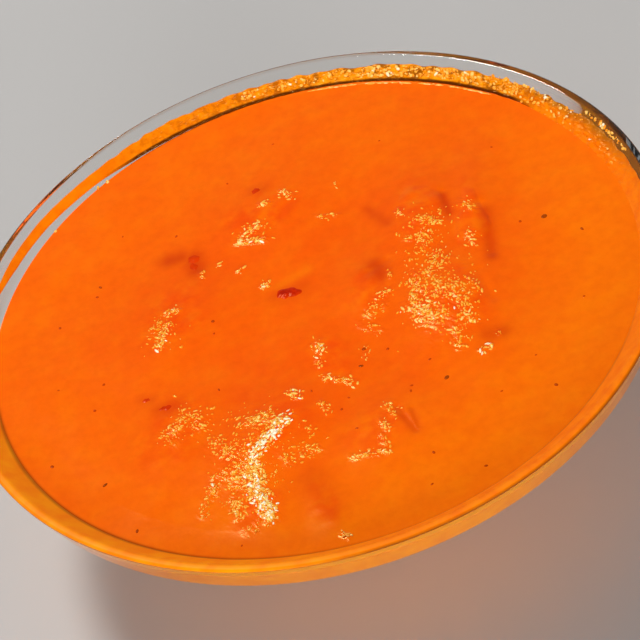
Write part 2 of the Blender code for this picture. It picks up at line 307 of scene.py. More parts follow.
# Creases beside the pieces: as above, the strength in millimetres of depth.
CREASES = [
    (44.2, 28.0, 44.0, 17.0, 1.3, 0.26), (53.2, 18.0, 51.2, -2.0, 1.7, 0.36),
    (12.6, -48.5, 15.0, -59.0, 1.0, 0.2), (16.2, -50.5, 16.2, -57.5, 0.9, 0.14),
    (23.2, 32.0, 27.0, 23.0, 1.8, 0.1), (45.5, -8.0, 47.0, -20.0, 1.6, 0.25),
    (23.5, 8.5, 17.5, 6.0, 1.4, 0.12),
]
# Direction across the wrinkles.
WRINKLE_TURN = np.radians(224.0)


def swell(x, y):
    """Slow unevenness, in millimetres: three crossing waves."""
    return 0.35 * (0.5 * np.sin(x / 13.0 + 0.7 * np.sin(y / 19.0)) + 0.3 * np.sin(y / 10.0 + 1.3)
                   + 0.2 * np.sin((x - 1.4 * y) / 8.0 + 0.4))


def waves(x, y, length, seed, count=14):
    """Random-looking relief between about -1 and 1: a sum of plane waves whose directions and
    phases are drawn from a seed and whose wavelengths lie round the given one."""
    draw = np.random.default_rng(seed)
    turn = draw.uniform(0.0, 2.0 * np.pi, count)
    wave = 2.0 * np.pi / (length * draw.uniform(0.7, 1.5, count))
    phase = draw.uniform(0.0, 2.0 * np.pi, count)
    total = np.zeros_like(x)
    for k in range(count):
        total += np.sin((x * np.cos(turn[k]) + y * np.sin(turn[k])) * wave[k] + phase[k])
    return total / np.sqrt(count * 2.0) * 0.9


def streaks(x, y, lines, widening=1.0):
    """Highest of the lines' strengths at each place, each falling off from its line as a bell."""
    best = np.zeros_like(x)
    for x0, y0, x1, y1, width, strength in lines:
        dx, dy = x1 - x0, y1 - y0
        t = np.clip(((x - x0) * dx + (y - y0) * dy) / max(dx * dx + dy * dy, 1e-6), 0.0, 1.0)
        away = (x - x0 - t * dx) ** 2 + (y - y0 - t * dy) ** 2
        best = np.maximum(best, strength * np.exp(-away / (width * widening) ** 2))
    return best


def scales(x, y, length, seed):
    """Wrinkles like low overlapping scales, about -1 to 1: two terms of a sawtooth along one
    direction, which fall gently and rise fast, with a phase bent by two sizes of waves."""
    along = x * np.cos(WRINKLE_TURN) + y * np.sin(WRINKLE_TURN)
    along = along + 1.3 * waves(x, y, 6.5, seed) + 0.45 * waves(x, y, 2.6, seed + 1)
    phase = 2.0 * np.pi * along / length
    return 0.9 * np.sin(phase) + 0.32 * np.sin(2.0 * phase)


def local(x, y, piece):
    """Distance along and across a piece of chicken, each as a share of its half size."""
    centre_x, centre_y, length, width, _, turn = piece[:6]
    c, s = np.cos(np.radians(turn)), np.sin(np.radians(turn))
    dx, dy = x - centre_x, y - centre_y
    return (dx * c + dy * s) / (length / 2), (dy * c - dx * s) / (width / 2)


def soft_max(a, b, blend):
    """The higher of two heights, rounded where they cross over a width of blend."""
    gap = np.clip(0.5 + 0.5 * (a - b) / blend, 0.0, 1.0)
    return b * (1.0 - gap) + a * gap + blend * gap * (1.0 - gap)


def placed(along, across, x, y, turn):
    """Plan places of points given along and across a shape that stands at x, y, turned in degrees."""
    c, s = np.cos(np.radians(turn)), np.sin(np.radians(turn))
    return x + along * c - across * s, y + along * s + across * c


def chicken_top(x, y, piece, seed):
    """Upper side of a coated piece, in millimetres over the level, and its reach, 0 in its middle
    and 1 at its outline: a rounded-off box with a bumpy back and a wavy outline."""
    wavy_x = x + 1.9 * waves(x, y, 13.0, seed + 200)
    wavy_y = y + 1.9 * waves(x, y, 13.0, seed + 300)
    along, across = local(wavy_x, wavy_y, piece)
    rise, cover = piece[6:]
    reach = np.abs(along) ** 2.4 + np.abs(across) ** 2.4
    back = 0.16 * waves(x, y, 9.0, seed) + 0.05 * waves(x, y, 3.8, seed + 40)
    return rise - cover - (rise + 0.6) * reach**1.5 + back * np.clip(1.0 - reach, 0.0, 1.0), reach


def round_rim(azimuth, *stops):
    """Value at each azimuth in degrees, in straight steps between (azimuth, value) stops."""
    return np.interp(azimuth, *zip(*stops))


def wetting(azimuth):
    """Height to which the sauce creeps up the glass, in millimetres, most of it at the back."""
    return 0.05 + 0.30 * np.clip(1.0 - np.abs(azimuth - 70.0) / 32.0, 0.0, 1.0)


def polar(x, y):
    """Distance in millimetres inwards from the glass at the curry's level, and azimuth."""
    edge = wall_radius(CURRY_LEVEL / 1000.0) * 1000.0
    return edge - np.hypot(x, y), np.degrees(np.arctan2(y, x))


def skin(x, y):
    """Height of the skin in millimetres over the curry's level, and masks from 0 to 1: how much
    of it lies over chicken, how wrinkled it is, and how reddish from stains and from painted shade
    in the creases. Swells and a hump round each piece fade out towards the glass; the pieces' backs
    rise through them; then come a swelling and scales in the wrinkles, the creases, a fine
    unevenness and the rise where the sauce wets the glass."""
    from_glass, azimuth = polar(x, y)
    from_glass = np.clip(from_glass, 0.0, None)
    calm = np.clip(from_glass / 10.0, 0.0, 1.0)
    mound = np.zeros_like(x)
    for piece in CHICKEN.values():
        along, across = local(x, y, piece)
        rise, cover = piece[6:]
        mound += ((0.8 * rise - 0.2 * cover) * np.exp(-(along**2 + across**2) / 1.5**2)) ** 3
    height = calm * (swell(x, y) + mound ** (1.0 / 3.0))
    over = np.zeros_like(x)
    for seed, piece in enumerate(CHICKEN.values()):
        top, reach = chicken_top(x, y, piece, seed)
        over = np.maximum(over, np.clip(1.1 - reach, 0.0, 1.0))
        height = soft_max(top, height, 1.2)
    wrinkled = streaks(x, y, WRINKLES, 1.25)
    height += 0.10 * streaks(x, y, WRINKLES, 0.8) - streaks(x, y, CREASES)
    height += np.minimum(wrinkled, 1.2) * (0.07 * scales(x, y, 2.3, 93) + 0.03 * waves(x, y, 1.5, 94, 24))
    height += calm * (0.02 + 0.04 * over) * waves(x, y, 5.5, 91)
    height += wetting(azimuth) * np.exp(-from_glass / 0.8)
    return height, over, np.clip(wrinkled, 0.0, 1.0), streaks(x, y, STAINS_AND_SHADE)


def skin_masks(x, y):
    """Height of the skin with all its masks by name. Towards the glass the sauce is yellower, more
    so to the right and the front; two lighter streaks by the tomato flake are painted highlight,
    and a dark line along the glass on the left and the front is painted shade. There its last
    ring, which stands in the glass, is marked as one that lies under the skin."""
    height, over, wrinkled, reddish_stain_and_shade = skin(x, y)
    from_glass, azimuth = polar(x, y)
    outwards = np.clip((np.hypot(x, y) - 42.0) / 38.0, 0.0, 1.0)
    yellow = outwards * (0.35 + 0.65 * np.clip((x - y) / 90.0, 0.0, 1.0))
    # Painted highlight: the lit streaks by the tomato flake lighten the sauce here.
    yellow = np.maximum(yellow, streaks(x, y, PAINTED_LIGHT_STREAKS))
    # Painted shade: a dark line where the sauce meets the glass, on the left and the front.
    edge_shade_strength = round_rim(azimuth, (-180.0, 0.9), (-140.0, 1.0), (-120.0, 0.8), (-105.0, 0.6), (-85.0, 0.15),
                         (-30.0, 0.1), (-10.0, 0.0), (172.0, 0.0), (180.0, 0.9))
    line = edge_shade_strength * np.exp(-((from_glass - 0.3) / 0.55) ** 2)
    in_glass = (from_glass < -0.02) * round_rim(azimuth, (-180.0, 1.0), (-30.0, 1.0), (-15.0, 0.0),
                                                (165.0, 0.0), (180.0, 1.0))
    return height, {"over_chicken": over, "wrinkled": wrinkled, "reddish_stain_and_shade": reddish_stain_and_shade,
                    "yellowish": yellow, "painted_edge_shade": line, "under": in_glass}


def skin_normals(x, y):
    """Upward normals of the skin from its slopes over a twentieth of a millimetre."""
    here, step = skin(x, y)[0], 0.05
    slope_x, slope_y = (skin(x + step, y)[0] - here) / step, (skin(x, y + step)[0] - here) / step
    normals = np.stack([-slope_x, -slope_y, np.ones_like(here)], axis=-1)
    return normals / np.linalg.norm(normals, axis=-1, keepdims=True)


def shade_as_skin(made, x, y):
    """Give the first rings of a closed body the skin's own normals, so that the curry and the
    pieces in it shade as one surface where they cross."""
    normals = np.empty((len(made.data.vertices), 3), np.float32)
    made.data.vertex_normals.foreach_get("vector", normals.ravel())
    of_skin = skin_normals(x, y)
    of_skin = np.vstack([of_skin[0, :1], of_skin[1:].reshape(-1, 3)])
    normals[:len(of_skin)] = of_skin
    made.data.normals_split_custom_set_from_vertices(normals)


def mark(made, **masks):
    """Store each mask on the object's points."""
    for name, values in masks.items():
        layer = made.data.attributes.new(name, "FLOAT", "POINT")
        layer.data.foreach_set("value", values.astype(np.float32).ravel())


def mark_skin(made, masks):
    """Store the skin's masks on the first rings of a closed body. On its other points, which lie
    under the skin, the mask of that name is one and the others are zero."""
    rest = len(made.data.vertices) - 1 - masks["wrinkled"][1:].size
    for name, mask in masks.items():
        below = np.full(rest, float(name == "under"))
        mark(made, **{name: np.concatenate([mask[0, :1], mask[1:].ravel(), below])})


# The skin in rings from its middle to the glass, closer together at the edge. It dips by 0.6 mm
# under each piece, and the curry then follows the inside of the glass back to the axis.
RINGS, EDGE_RINGS, AROUND = 138, 12, 560
EDGE_SHARE = 0.965
DIP = 0.6
turns = 2.0 * np.pi * np.arange(AROUND) / AROUND
creep = wetting((np.degrees(turns) + 180.0) % 360.0 - 180.0) + 0.03
edge_radius = wall_radius((CURRY_LEVEL + creep) / 1000.0, INTO_GLASS) * 1000.0
ring_shares = np.concatenate([np.linspace(0.0, EDGE_SHARE, RINGS),
                              np.linspace(EDGE_SHARE, 1.0, EDGE_RINGS + 1)[1:]])
top_x, top_y, _ = np.moveaxis(polar_points(ring_shares[:, None] * edge_radius, turns, 0.0), -1, 0)
top_z, top_masks = skin_masks(top_x, top_y)
for piece in CHICKEN.values():
    along, across = local(top_x, top_y, piece)
    reach = (np.abs(along) ** 3.0 + np.abs(across) ** 3.0) ** (1.0 / 3.0)
    top_z -= DIP * np.clip((0.92 - reach) / 0.08, 0.0, 1.0)
top_grid = np.stack([top_x, top_y, CURRY_LEVEL + top_z], axis=2) / 1000.0
inside = inner_section(INTO_GLASS)
inside = np.vstack([inside[inside[:, 1] < CURRY_LEVEL / 1000.0 - 0.0001][:-1:3], inside[-1:]])
curry = closed_rings("curry_sauce_body", np.concatenate([top_grid, turned(inside, AROUND)]))
shade_as_skin(curry, top_x, top_y)
mark_skin(curry, top_masks)


def noise(tree, place, scale, detail=3.0, roughness=0.55):
    """Noise texture on a place, by its scale in cells a metre."""
    made = node(tree, "ShaderNodeTexNoise")
    for name, value in (("Scale", scale), ("Detail", detail), ("Roughness", roughness)):
        made.inputs[name].default_value = value
    tree.links.new(place, made.inputs["Vector"])
    return made.outputs["Fac"]


WHITE, BLACK = (1.0, 1.0, 1.0), (0.0, 0.0, 0.0)


def ramp(tree, factor, *stops):
    """Colour ramp on a factor from (position, colour) stops."""
    made = node(tree, "ShaderNodeValToRGB")
    for place, color in stops[2:]:
        made.color_ramp.elements.new(place)
    for element, (place, color) in zip(made.color_ramp.elements, stops):
        element.position = place
        element.color = (*color, 1.0)
    tree.links.new(factor, made.inputs["Fac"])
    return made.outputs["Color"]


def fill(tree, socket, value):
    """Link a socket to another or set it to a number or colour."""
    if isinstance(value, bpy.types.NodeSocket):
        tree.links.new(value, socket)
    else:
        socket.default_value = (*value, 1.0) if isinstance(value, tuple) else value


def mixed(tree, factor, first, second, blend="MIX"):
    """Mix of two colours by a factor; each is a socket or a constant."""
    made = node(tree, "ShaderNodeMix", data_type="RGBA", blend_type=blend)
    for index, value in ((0, factor), (6, first), (7, second)):
        fill(tree, made.inputs[index], value)
    return made.outputs[2]


def maths(tree, operation, *values):
    """Result of an operation on sockets or constants."""
    made = node(tree, "ShaderNodeMath", operation=operation)
    for socket, value in zip(made.inputs, values):
        fill(tree, socket, value)
    return made.outputs[0]


def attribute(tree, name):
    """Value of a mask stored on the points."""
    return node(tree, "ShaderNodeAttribute", attribute_name=name).outputs["Fac"]


def stain_and_shade(tree, color, mask, strength, stain):
    """Colour mixed with that of a stain or of painted shade, by a mask times a strength."""
    return mixed(tree, maths(tree, "MULTIPLY", strength, attribute(tree, mask)), color, stain)


def relief_normal(tree, height):
    """Normal of a relief at most 0.4 mm high, from its height between 0 and 1."""
    bump = node(tree, "ShaderNodeBump")
    bump.inputs["Strength"].default_value = 1.0
    bump.inputs["Distance"].default_value = 0.0004
    tree.links.new(height, bump.inputs["Height"])
    return bump.outputs["Normal"]


def curry_look():
    """Shader group that gives the sauce's colour, its roughness and the normal of its finest
    relief. Its colour holds painted light: shade along the glass and in the creases, highlight
    streaks by the tomato flake, and a brighter glow on the sides and underside seen through the
    glass. Its gloss varies a little from place to place."""
    group = bpy.data.node_groups.new("curry_look", "ShaderNodeTree")
    for name, kind in (("Color", "Color"), ("Roughness", "Float"), ("Normal", "Vector")):
        group.interface.new_socket(name, in_out="OUTPUT", socket_type="NodeSocket" + kind)
    result = node(group, "NodeGroupOutput")
    place = node(group, "ShaderNodeTexCoord").outputs["Object"]
    color = ramp(group, noise(group, place, 24.0), (0.35, (0.95, 0.108, 0.0003)),
                 (0.65, (0.98, 0.138, 0.0003)))
    color = mixed(group, attribute(group, "yellowish"), color, (1.0, 0.200, 0.0003))
    patches = ramp(group, noise(group, place, 130.0, 4.0, 0.6), (0.36, (0.92, 0.066, 0.0003)),
                   (0.50, (0.97, 0.105, 0.0003)), (0.64, (1.0, 0.170, 0.0003)))
    patchy = maths(group, "MULTIPLY_ADD", attribute(group, "over_chicken"), 0.48, 0.22)
    color = mixed(group, patchy, color, patches)
    mottle = ramp(group, noise(group, place, 330.0, 3.0, 0.6), (0.30, (0.92, 0.86, 0.8)), (0.60, WHITE))
    color = mixed(group, 0.6, color, mottle, "MULTIPLY")
    # Reddish stains, and painted shade in the creases.
    color = stain_and_shade(group, color, "reddish_stain_and_shade", 0.85, (0.60, 0.030, 0.0003))
    # Painted shade along the glass.
    color = stain_and_shade(group, color, "painted_edge_shade", 0.85, (0.22, 0.030, 0.0004))
    # Painted light: the sauce's sides and underside, seen through the glass, are a brighter, yellower amber
    # for light that glows through the sauce.
    painted_glow_through = ramp(group, noise(group, place, 130.0, 4.0, 0.65), (0.35, (0.92, 0.27, 0.002)),
                        (0.65, (0.99, 0.36, 0.003)))
    color = mixed(group, attribute(group, "under"), color, painted_glow_through)
    group.links.new(color, result.inputs["Color"])
    shine = node(group, "ShaderNodeMapRange")
    for name, value in (("From Min", 0.35), ("From Max", 0.65), ("To Min", 0.13), ("To Max", 0.19)):
        shine.inputs[name].default_value = value
    group.links.new(noise(group, place, 60.0), shine.inputs["Value"])
    group.links.new(shine.outputs["Result"], result.inputs["Roughness"])
    depth = maths(group, "MULTIPLY_ADD", attribute(group, "wrinkled"), 0.35, 0.05)
    fine = maths(group, "MULTIPLY", noise(group, place, 800.0, 1.0, 0.5), depth)
    group.links.new(relief_normal(group, fine), result.inputs["Normal"])
    return group


look = curry_look()


def sauce_material(name):
    """Opaque creamy sauce with the shared colour, gloss and relief; its glints are golden."""
    made, shader = shader_of(name, {"IOR": 1.36, "Specular Tint": (1.0, 0.50, 0.08, 1.0)})
    tree = made.node_tree
    used = node(tree, "ShaderNodeGroup", node_tree=look)
    for output, socket in (("Color", "Base Color"), ("Roughness", "Roughness"), ("Normal", "Normal")):
        tree.links.new(used.outputs[output], shader.inputs[socket])
    return made


curry.data.materials.append(sauce_material("butter_curry_sauce"))
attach(curry, "root")
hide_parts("curry")

# ---------------------------------------------------------------------------------------------
# Chicken. Boneless pieces under a coat of the same sauce: each piece's back is the sauce's skin
# over its outline, its edge dips below the curry's surface, and its underside closes in the sauce.

# Millimetres: between rings and along them, the height over the curry and the dip at the edge.
RING_STEP = 0.42
EDGE_STEP = 0.45
COAT_LIFT = 0.04
EDGE_DIP = 1.6


def coated_piece(name, piece):
    """Rings over the piece's outline from the middle of its back to its edge, then rings under it
    back to the middle. A ring's height is the skin's, less a dip that grows towards the edge."""
    centre_x, centre_y, length, width, thickness, turn, rise, _ = piece
    over = np.linspace(0.0, 1.0, int(length / 2 / RING_STEP) + 2)[:, None]
    around = int(2.0 * (length + width) / EDGE_STEP)
    phi = 2.0 * np.pi * np.arange(around) / around
    square = (np.abs(np.cos(phi)) ** 3.0 + np.abs(np.sin(phi)) ** 3.0) ** (-1.0 / 3.0)
    along, across = np.cos(phi) * square * length / 2, np.sin(phi) * square * width / 2
    x, y = placed(over * along, over * across, centre_x, centre_y, turn)
    z, masks = skin_masks(x, y)
    z = CURRY_LEVEL + z + COAT_LIFT - EDGE_DIP * np.clip((over - 0.93) / 0.07, 0.0, 1.0) ** 1.5
    below = np.linspace(0.97, 0.0, 12)[:, None]
    low_x, low_y = placed(below * along, below * across, centre_x, centre_y, turn)
    belly = CURRY_LEVEL + rise - thickness / 2 * (1.0 + (1.0 - below**3) ** (1.0 / 3.0))
    low_z = np.minimum(np.broadcast_to(belly, low_x.shape), z[-1] - 0.3)
    grid = np.stack([np.vstack([x, low_x]), np.vstack([y, low_y]), np.vstack([z, low_z])], axis=2)
    made = closed_rings(name, grid / 1000.0)
    shade_as_skin(made, x, y)
    mark_skin(made, masks)
    return made


coated = sauce_material("sauce_coated_chicken")
for name, piece in CHICKEN.items():
    chicken = coated_piece(name + "_coated", piece)
    chicken.data.materials.append(coated)
    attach(chicken, "root")
    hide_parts(name)

# ---------------------------------------------------------------------------------------------
# Film of sauce on the glass above the curry, left by serving: a thin skin on the inner wall, which
# wraps over the lip at the front, where painted shade darkens its upper edge. Along the far side it
# is a ragged band whose lower edge is darkened by painted shadow; on the left it is smooth, and
# clear glass shows below it.

# Azimuth in degrees, then the depths below the rim of the film's top and bottom, in millimetres. A
# negative depth is a distance over the lip.
FILM = [
    (-180.0, 0.6, 5.8), (-172.0, -0.8, 5.8), (-165.0, -2.4, 5.8), (-36.0, -2.4, 5.8), (-28.0, -1.2, 5.8),
    (-16.0, 0.4, 5.8), (0.0, 1.3, 5.8), (20.0, 1.7, 5.8), (29.0, 1.8, 5.5),
    (36.0, 1.78, 4.85), (63.0, 1.82, 4.85), (85.0, 1.86, 4.85), (107.0, 1.75, 4.8), (114.0, 1.95, 4.6),
    (120.0, 1.98, 4.1), (126.0, 1.85, 3.85), (134.0, 1.6, 3.45), (144.0, 1.6, 3.25), (149.0, 1.8, 2.9),
    (153.0, 2.1, 2.5), (157.0, 2.5, 2.6), (165.0, 3.0, 5.8), (173.0, 2.0, 5.8), (180.0, 0.6, 5.8),
]
FILM_THICKNESS = 0.34
FILM_COLUMNS, FILM_ROWS = 1080, 32
# The film's three back rows, as shares of its width, and how far they stand in the glass.
BACK_ROWS = [0.9, 0.5, 0.1]
BACK_DEPTH = 0.09
# Millimetres: the depth of the cone's top below the rim, and the radii at which the raggedness and
# the drops' widths are measured.
CONE_TOP = 0.2
RAGGED_RADIUS = 96.0
DROP_RADIUS = 95.0
# Drops in the film on the right: azimuth, depth below the rim, half width and height.
DROPS = [
    (19.3, 3.6, 0.75, 0.8), (20.6, 2.6, 0.6, 0.6), (22.6, 3.3, 0.7, 0.7), (12.0, 3.9, 0.7, 0.7),
    (24.3, 3.7, 0.6, 0.5), (28.4, 3.2, 0.9, 0.8), (24.6, 2.7, 0.6, 0.5), (16.6, 2.6, 0.7, 0.6),
    (15.6, 3.5, 0.8, 0.6), (30.2, 3.3, 0.8, 0.7), (33.0, 2.6, 0.9, 0.8), (36.0, 3.1, 0.8, 0.7),
    (26.5, 4.3, 0.9, 0.6), (21.5, 4.5, 1.0, 0.6), (17.0, 4.6, 0.9, 0.5), (10.5, 4.4, 0.8, 0.5),
]


def lip_path():
    """Section of the glass from the outer rounding of the lip, over it and down the inner cone,
    in millimetres: the distance from the top of the cone, positive downwards, and the radius,
    height and outward direction there."""
    points = [16, 8]
    turn = np.radians(np.concatenate([np.linspace(-20.0, 90.0, points[0]),
                                      np.linspace(90.0, CONE_START, points[1])]))
    round_off = np.repeat([LIP_OUTER_ROUND, LIP_INNER_ROUND], points) * 1000.0
    middle = np.repeat([RIM_RADIUS - LIP_OUTER_ROUND, LIP_INNER_RADIUS], points) * 1000.0
    radius = middle + round_off * np.cos(turn)
    height = BOWL_HEIGHT * 1000.0 - round_off * (1.0 - np.sin(turn))
    down = np.linspace(0.5, 9.5, 19)
    radius = np.append(radius, radius[-1] - down * np.cos(INNER_SLOPE))
    height = np.append(height, height[-1] - down * np.sin(INNER_SLOPE))
    turn = np.append(turn, np.full(len(down), turn[-1]))
    distance = np.append(0.0, np.cumsum(np.hypot(np.diff(radius), np.diff(height))))
    return distance - distance[sum(points) - 1], radius, height, np.cos(turn), np.sin(turn)


def down_glass(depth):
    """Distance from the top of the cone, in millimetres, at a depth below the rim: along the slope
    below the cone's top, and as it is on the lip above it."""
    below = depth - CONE_TOP
    return np.where(below > 0.0, below / np.sin(INNER_SLOPE), below)


def on_path(distance):
    """Radius, height and outward direction of the glass at distances along the lip's path."""
    return [np.interp(distance, glass_path[0], values) for values in glass_path[1:]]


glass_path = lip_path()
azimuth = 360.0 * np.arange(FILM_COLUMNS) / FILM_COLUMNS - 180.0
arm = np.radians(azimuth)
table = np.array(FILM)
ragged = round_rim(azimuth, (-180.0, 0.0), (-170.0, 0.0), (-40.0, 0.0), (-20.0, 0.3), (0.0, 0.3), (8.0, 1.0),
                   (90.0, 1.0), (112.0, 0.5), (125.0, 0.05), (176.0, 0.05), (180.0, 0.0))
# The film's upper and lower end at each azimuth, as distances down the glass.
ends = []
for column, wobble, seed in ((1, 0.30, 71), (2, 0.05, 73)):
    depth = np.interp(azimuth, table[:, 0], table[:, column])
    edge_waves = waves(np.cos(arm) * RAGGED_RADIUS, np.sin(arm) * RAGGED_RADIUS, 5.0, seed)
    ends.append(down_glass(depth + wobble * ragged * edge_waves))
down = np.concatenate([np.linspace(0.0, 1.0, FILM_ROWS) ** 1.3, BACK_ROWS])[:, None]
way = ends[0] + down * np.maximum(ends[1] - ends[0], 0.06)
radius, height, lean, lift = on_path(way)
# Thickness: rounded off at both ends, lumpy where the film is ragged, and with drops on the right.
swelling = (1.0 - np.abs(2.0 * down - 1.0) ** 4.0) ** 0.5
lump_x, lump_y = radius * np.cos(arm), radius * np.sin(arm) + 3.0 * height
lumps = 1.0 + ragged * (0.65 * waves(lump_x, lump_y, 2.8, 72, 20) + 0.25 * waves(lump_x, lump_y, 1.5, 74, 20))
thickness = FILM_THICKNESS * swelling * np.clip(lumps, 0.3, 3.0)
for drop_azimuth, drop_depth, width, high in DROPS:
    sideways = np.radians(azimuth - drop_azimuth) * DROP_RADIUS
    away = sideways**2 + (way - down_glass(drop_depth)) ** 2
    bulge = np.clip(1.0 - away / width**2 / 1.6, 0.0, 1.0) ** 0.5 * (away < 1.6 * width**2)
    thickness = thickness + high * swelling * bulge
thickness[FILM_ROWS:] = -BACK_DEPTH
loop = polar_points(radius + thickness * lean, arm, height + thickness * lift)
index = np.arange(loop.shape[0] * FILM_COLUMNS).reshape(-1, FILM_COLUMNS)
beside, beneath = np.roll(index, -1, axis=1), np.roll(index, -1, axis=0)
quads = np.stack([index, beneath, np.roll(beneath, -1, axis=1), beside], axis=2).reshape(-1, 4)
film = mesh_object("sauce_film_on_glass", loop.reshape(-1, 3) / 1000.0, [quads])
# Masks: how far down the film a point is, which rows are its back, and where round the rim it is
# ragged, has a lower or upper edge darkened by painted shade, is thin and dull, is satin and is golden.
masks = {
    "down": down,
    "behind": np.arange(len(down))[:, None] >= FILM_ROWS,
    "ragged": ragged,
    "painted_shadow_below": round_rim(azimuth, (-180.0, 0.5), (-100.0, 0.5), (-40.0, 0.3), (-20.0, 0.0), (32.0, 0.0),
                       (38.0, 1.0), (112.0, 1.0), (120.0, 0.0), (176.0, 0.0), (180.0, 0.5)),
    "painted_shade_above": round_rim(azimuth, (-110.0, 0.0), (-92.0, 0.9), (-34.0, 0.9), (-26.0, 0.0)),
    "dull": round_rim(azimuth, (-10.0, 0.0), (5.0, 0.15), (15.0, 0.65), (30.0, 0.5), (42.0, 0.0)),
    "satin": round_rim(azimuth, (-180.0, 1.0), (-30.0, 1.0), (-15.0, 0.0), (176.0, 0.0), (180.0, 1.0)),
    "gold": round_rim(azimuth, (-180.0, 0.5), (-170.0, 0.8), (-110.0, 0.8), (-85.0, 0.1), (10.0, 0.0),
                      (25.0, 0.4), (42.0, 1.0), (72.0, 1.0), (90.0, 0.6), (112.0, 0.5), (120.0, 0.1),
                      (172.0, 0.1), (180.0, 0.5)),
}
mark(film, **{name: np.broadcast_to(mask, radius.shape) for name, mask in masks.items()})

amber, shader = shader_of("amber_sauce_film", {"IOR": 1.34, "Specular Tint": (1.0, 0.55, 0.10, 1.0)})
tree = amber.node_tree
place = node(tree, "ShaderNodeTexCoord").outputs["Object"]
color = ramp(tree, noise(tree, place, 240.0), (0.35, (0.90, 0.15, 0.0008)), (0.65, (0.99, 0.215, 0.001)))
browned = ramp(tree, noise(tree, place, 420.0), (0.38, (0.36, 0.10, 0.002)), (0.51, (0.82, 0.24, 0.002)),
               (0.64, (0.98, 0.36, 0.006)))
smooth = ramp(tree, noise(tree, place, 160.0), (0.35, (0.93, 0.215, 0.001)), (0.65, (0.98, 0.32, 0.002)))
golden_film = mixed(tree, attribute(tree, "ragged"), smooth, browned)
color = mixed(tree, attribute(tree, "gold"), color, golden_film)
shaded = ramp(tree, attribute(tree, "down"), (0.05, (0.15, 0.085, 0.004)), (0.5, (0.95, 0.20, 0.001)))
color = mixed(tree, attribute(tree, "dull"), color, shaded)
# Painted shadow: the film's lower edge turns nearly black where it meets the sauce.
low = ramp(tree, attribute(tree, "down"), (0.76, BLACK), (0.86, WHITE))
color = stain_and_shade(tree, color, "painted_shadow_below", low, (0.10, 0.018, 0.0005))
# Painted light: the film's back rows, seen through the glass, are a brighter amber for light that glows
# through the sauce.
color = mixed(tree, attribute(tree, "behind"), color, (1.0, 0.40, 0.002))
# Painted shade: the film's upper edge on the lip's outer rounding at the front is darkened.
high = ramp(tree, attribute(tree, "down"), (0.02, WHITE), (0.08, BLACK))
color = stain_and_shade(tree, color, "painted_shade_above", high, (0.20, 0.035, 0.0005))
tree.links.new(color, shader.inputs["Base Color"])
gloss = maths(tree, "MULTIPLY_ADD", attribute(tree, "satin"), 0.26, 0.16)
tree.links.new(gloss, shader.inputs["Roughness"])
fine = maths(tree, "MULTIPLY", noise(tree, place, 900.0, 2.0, 0.5), attribute(tree, "ragged"))
tree.links.new(relief_normal(tree, fine), shader.inputs["Normal"])
film.data.materials.append(amber)
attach(film, "root")

# ---------------------------------------------------------------------------------------------
# Butter and painted glints. Drops and dashes, most under a millimetre long, that stand on the
# wrinkled sauce, string along the sauce's edge at the back and cling to the film there and on the
# right; their pale golden colour, up to near white, is painted highlight where the sauce catches
# the light.

# Places on the film: between two azimuths and two depths below the rim, the count of drops, and
# their height over the glass.
FILM_DROPS = [
    (46.0, 69.0, 2.1, 3.9, 260, 0.42), (69.0, 90.0, 2.3, 3.8, 40, 0.42), (36.0, 46.0, 2.5, 4.0, 56, 0.42),
    (20.0, 36.0, 2.0, 4.6, 46, 0.42), (9.0, 20.0, 3.0, 4.2, 16, 0.42), (81.0, 83.5, 2.7, 3.6, 14, 0.42),
    (76.0, 79.0, 2.5, 3.6, 12, 0.42), (87.5, 90.0, 2.2, 3.6, 12, 0.42), (69.5, 75.0, 2.4, 3.4, 22, 0.42),
    (7.0, 22.0, 0.5, 1.1, 44, 0.05), (22.0, 44.0, 1.6, 2.3, 40, 0.25),
    (118.8, 119.5, 4.7, 5.1, 4, 0.15), (120.6, 121.6, 4.5, 4.9, 5, 0.15), (132.6, 133.4, 4.9, 5.2, 2, 0.1),
]
# Radius of the sauce's edge at the back, in millimetres.
EDGE_RADIUS = 91.25
# A dome: points in a ring, and the radius and height of each ring as shares of the dome's own.
DOME_SIDES = 8
DOME_REACH = np.array([1.0, 0.92, 0.55])
DOME_LIFT = np.array([-0.35, 0.45, 0.88])
DOME_POINTS = 2 + DOME_SIDES * len(DOME_REACH)
UPWARDS = np.array([0.0, 0.0, 1.0])
draw = np.random.default_rng(5)


def along_lines(lines, density, width):
    """Random places along lines on the skin: x, y, direction and strength, so many to a square
    millimetre of each line's capsule."""
    found = []
    for x0, y0, x1, y1, half, strength in lines:
        length = np.hypot(x1 - x0, y1 - y0)
        count = int(density * (2.0 * half * length + np.pi * half**2) * min(strength, 2.4)) + 2
        t = draw.uniform(-0.03, 1.03, count)
        aside = draw.normal(0.0, half * width, (2, count))
        heading = np.arctan2(y1 - y0, x1 - x0 + 1e-6) + draw.normal(0.0, 0.7, count)
        found.append(np.stack([x0 + t * (x1 - x0) + aside[0], y0 + t * (y1 - y0) + aside[1], heading,
                               strength * draw.uniform(0.3, 1.0, count)]))
    return np.hstack(found)


def on_film(zones):
    """Random places on the film: azimuth, distance down the glass, direction, strength and height
    over the glass, so many in each zone of azimuths and depths below the rim."""
    found = []
    for start, end, top, bottom, count, stand_off in zones:
        depth = draw.uniform(top, bottom, count)
        azimuth = draw.uniform(start, end, count)
        found.append(np.stack([azimuth, down_glass(depth), draw.normal(0.0, 0.9, count),
                               draw.uniform(0.4, 1.25, count), np.full(count, stand_off)]))
    return np.hstack(found)


def on_skin(x, y, height):
    """Points in millimetres at a height over the skin."""
    return np.stack([x, y, CURRY_LEVEL + skin(x, y)[0] + height], axis=-1)


